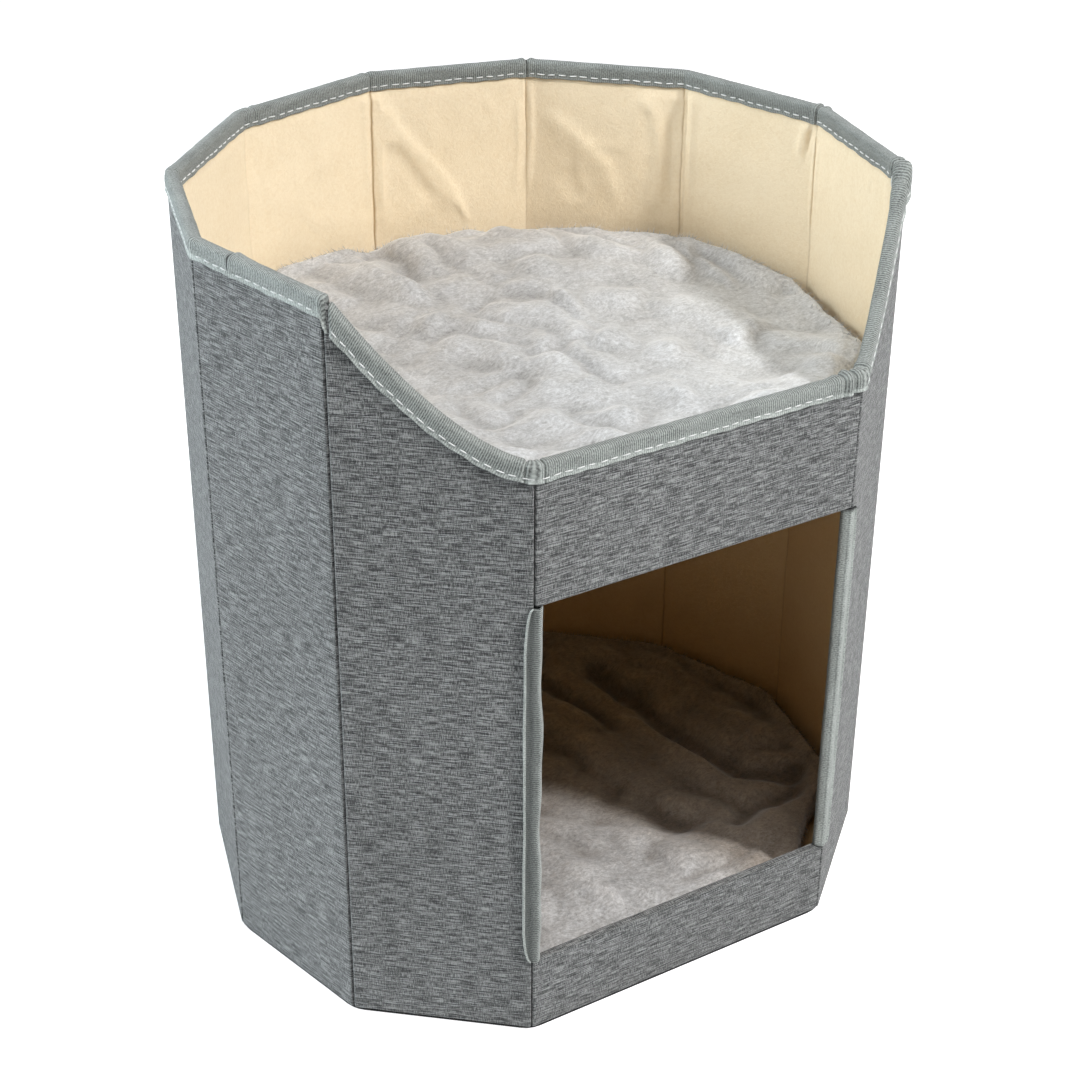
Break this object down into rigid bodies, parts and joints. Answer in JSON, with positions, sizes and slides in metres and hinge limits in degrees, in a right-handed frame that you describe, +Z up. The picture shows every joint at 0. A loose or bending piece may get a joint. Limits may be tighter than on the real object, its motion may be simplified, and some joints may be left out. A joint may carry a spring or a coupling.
{
  "type": "cat house",
  "caption": "Two-storey folding cat house: cloth-covered board walls round a den with a doorway, and an open bed with a falling front rim above it, each with a plush cushion.",
  "frame": {"origin": "on the floor under the middle of the house", "axes": "+Z up, the doorway faces -Y, +X to the right of someone who faces the doorway"},
  "size_m": [0.4066, 0.3652, 0.44],
  "materials": {
    "outer_cloth": "grey melange linen-look polyester, matt",
    "stiff_board": "bare fibreboard",
    "lining_cloth": "cream non-woven felt, matt",
    "binding_tape": "grey-green ribbed grosgrain tape",
    "black_cloth": "thin black non-woven",
    "hook_loop": "black hook-and-loop tape",
    "plush": "short-pile light grey plush"
  },
  "bodies": {
    "house": {"header_cover": "outer_cloth", "header_board": "stiff_board", "sill_cover": "outer_cloth", "sill_board": "stiff_board", "wall_cover_left_1": "outer_cloth", "wall_cover_left_2": "outer_cloth", "wall_cover_left_3": "outer_cloth", "wall_cover_left_4": "outer_cloth", "wall_cover_left_5": "outer_cloth", "wall_cover_right_1": "outer_cloth", "wall_cover_right_2": "outer_cloth", "wall_cover_right_3": "outer_cloth", "wall_cover_right_4": "outer_cloth", "wall_cover_right_5": "outer_cloth", "wall_board_left_1": "stiff_board", "wall_board_left_2": "stiff_board", "wall_board_left_3": "stiff_board", "wall_board_left_4": "stiff_board", "wall_board_left_5": "stiff_board", "wall_board_right_1": "stiff_board", "wall_board_right_2": "stiff_board", "wall_board_right_3": "stiff_board", "wall_board_right_4": "stiff_board", "wall_board_right_5": "stiff_board", "lining": "lining_cloth", "rim_tape": "binding_tape", "doorway_tape_left": "binding_tape", "doorway_tape_right": "binding_tape", "bottom_cloth": "black_cloth", "loop_patch_front": "hook_loop", "loop_patch_left_2": "hook_loop", "loop_patch_left_4": "hook_loop", "loop_patch_right_2": "hook_loop", "loop_patch_right_4": "hook_loop"},
    "shelf": {"shelf_board": "stiff_board", "shelf_top_cover": "lining_cloth", "shelf_under_cloth": "lining_cloth", "shelf_tab_front": "hook_loop", "shelf_tab_left_2": "hook_loop", "shelf_tab_left_4": "hook_loop", "shelf_tab_right_2": "hook_loop", "shelf_tab_right_4": "hook_loop"},
    "upper_cushion": {"upper_cushion": "plush"},
    "base_board": {"base_board": "stiff_board", "base_board_cover": "lining_cloth"},
    "lower_cushion": {"lower_cushion": "plush"}
  },
  "joints": [
    {"name": "shelf_lift", "type": "slide", "parent": "house", "child": "shelf", "axis": [0, 0, 1], "range_m": [0, 0.16]},
    {"name": "upper_cushion_lift", "type": "slide", "parent": "shelf", "child": "upper_cushion", "axis": [0, 0, 1], "range_m": [0, 0.15]},
    {"name": "base_board_lift", "type": "slide", "parent": "house", "child": "base_board", "axis": [0, 0, 1], "range_m": [0, 0.1]},
    {"name": "lower_cushion_lift", "type": "slide", "parent": "base_board", "child": "lower_cushion", "axis": [0, 0, 1], "range_m": [0, 0.1]}
  ]
}
